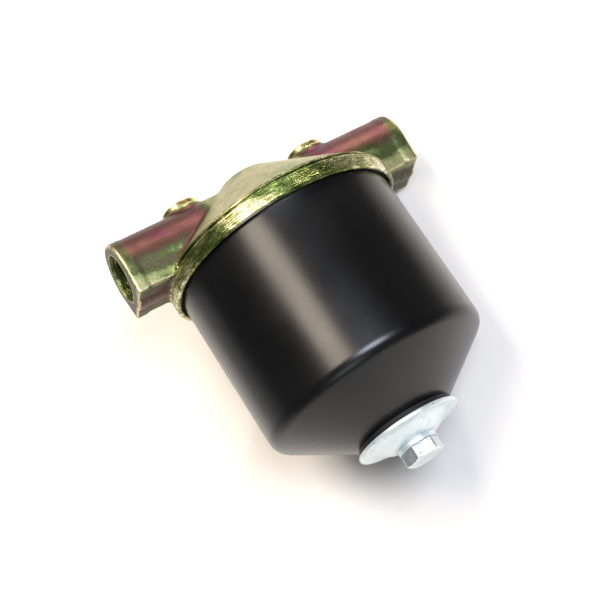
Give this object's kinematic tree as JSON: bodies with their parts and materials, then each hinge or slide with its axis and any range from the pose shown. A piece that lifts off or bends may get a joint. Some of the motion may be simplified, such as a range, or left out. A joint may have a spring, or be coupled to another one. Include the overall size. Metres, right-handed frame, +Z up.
{
  "type": "compressed air filter",
  "caption": "In-line compressed-air filter: cast head with two threaded ports and a domed top, black steel bowl held up by one long bolt and clamp disc.",
  "frame": {"origin": "midway between the two tapped mounting holes, on the machined plane of their bosses", "axes": "+Z up, from the bowl to the head; +X along the port axis, from the inlet port to the outlet port"},
  "size_m": [0.15, 0.1172, 0.1603],
  "materials": {
    "passivated_casting": "yellow-passivated zinc plate over as-cast iron, rim and boss faces machined",
    "gasket_rubber": "moulded nitrile, matt",
    "black_enamel": "satin black enamel over deep-drawn steel",
    "plated_pressing": "clear zinc over pressed steel",
    "spring_wire": "drawn spring wire, oiled",
    "blue_zinc": "blue-white zinc plate, slightly frosted",
    "bolt_zinc": "zinc-plated forged bolt with rolled thread",
    "felt_seal": "pressed wool felt",
    "bond_resin": "cured plastisol",
    "filter_paper": "resin-treated pleated paper"
  },
  "bodies": {
    "head": {"head_casting": "passivated_casting", "mouth_gasket": "gasket_rubber"},
    "bowl": {"bowl_shell": "black_enamel", "foot_gasket": "gasket_rubber", "bolt_seal": "gasket_rubber", "spring_seat": "plated_pressing", "spring": "spring_wire"},
    "clamp": {"clamp_disc": "blue_zinc", "bolt_washer": "blue_zinc"},
    "bolt": {"through_bolt": "bolt_zinc"},
    "element": {"top_seal": "felt_seal", "top_cap": "plated_pressing", "top_bond": "bond_resin", "core_tube": "plated_pressing", "filter_media": "filter_paper", "outer_screen": "plated_pressing", "bottom_bond": "bond_resin", "bottom_cap": "plated_pressing", "bottom_grommet": "gasket_rubber", "spring_cup": "plated_pressing"}
  },
  "joints": [
    {"name": "bowl_release", "type": "slide", "parent": "head", "child": "bowl", "axis": [0, 0, -1], "range_m": [0, 0.04]},
    {"name": "bolt_travel", "type": "slide", "parent": "bowl", "child": "clamp", "axis": [0, 0, -1], "range_m": [0, 0.02275]},
    {"name": "bolt_turn", "type": "hinge", "parent": "clamp", "child": "bolt", "pos_m": [0, 0, -0.14613], "axis": [0, 0, -1], "range_deg": [0, 4680]},
    {"name": "element_lift", "type": "slide", "parent": "bowl", "child": "element", "axis": [0, 0, -1], "range_m": [0, 0.004], "stiffness_N_per_m": 2000, "springref_m": -0.01, "deforming": ["spring"]}
  ],
  "couplings": [
    {"joint": "bolt_turn", "follows": "bolt_travel", "rad_per_m": 3590.4}
  ]
}
